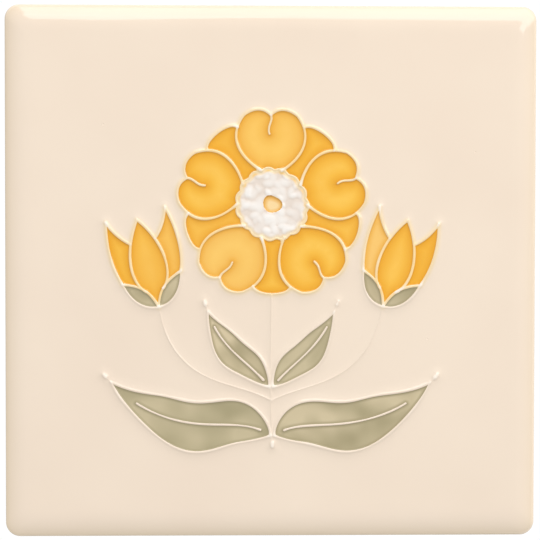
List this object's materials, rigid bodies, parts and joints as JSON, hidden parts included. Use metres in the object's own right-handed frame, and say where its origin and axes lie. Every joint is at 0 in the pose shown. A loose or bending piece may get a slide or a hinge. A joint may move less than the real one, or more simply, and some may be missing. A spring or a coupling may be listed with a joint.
{
  "type": "relief glazed tile",
  "caption": "Square ceramic wall tile with a rolled face edge, a flower motif in raised slip lines filled with coloured glazes, and a keyed back for bedding.",
  "frame": {"origin": "centre of the back, on the plane that the tile is bedded on", "axes": "+Z out of the glazed face, +Y to the top of the picture, +X to its right"},
  "size_m": [0.152, 0.152, 0.0095],
  "materials": {
    "glazed_earthenware": "high-gloss cream glaze on a pressed earthenware body, with amber, sage and white glazes between the raised lines"
  },
  "bodies": {
    "root": {"tile": "glazed_earthenware"}
  },
  "joints": []
}
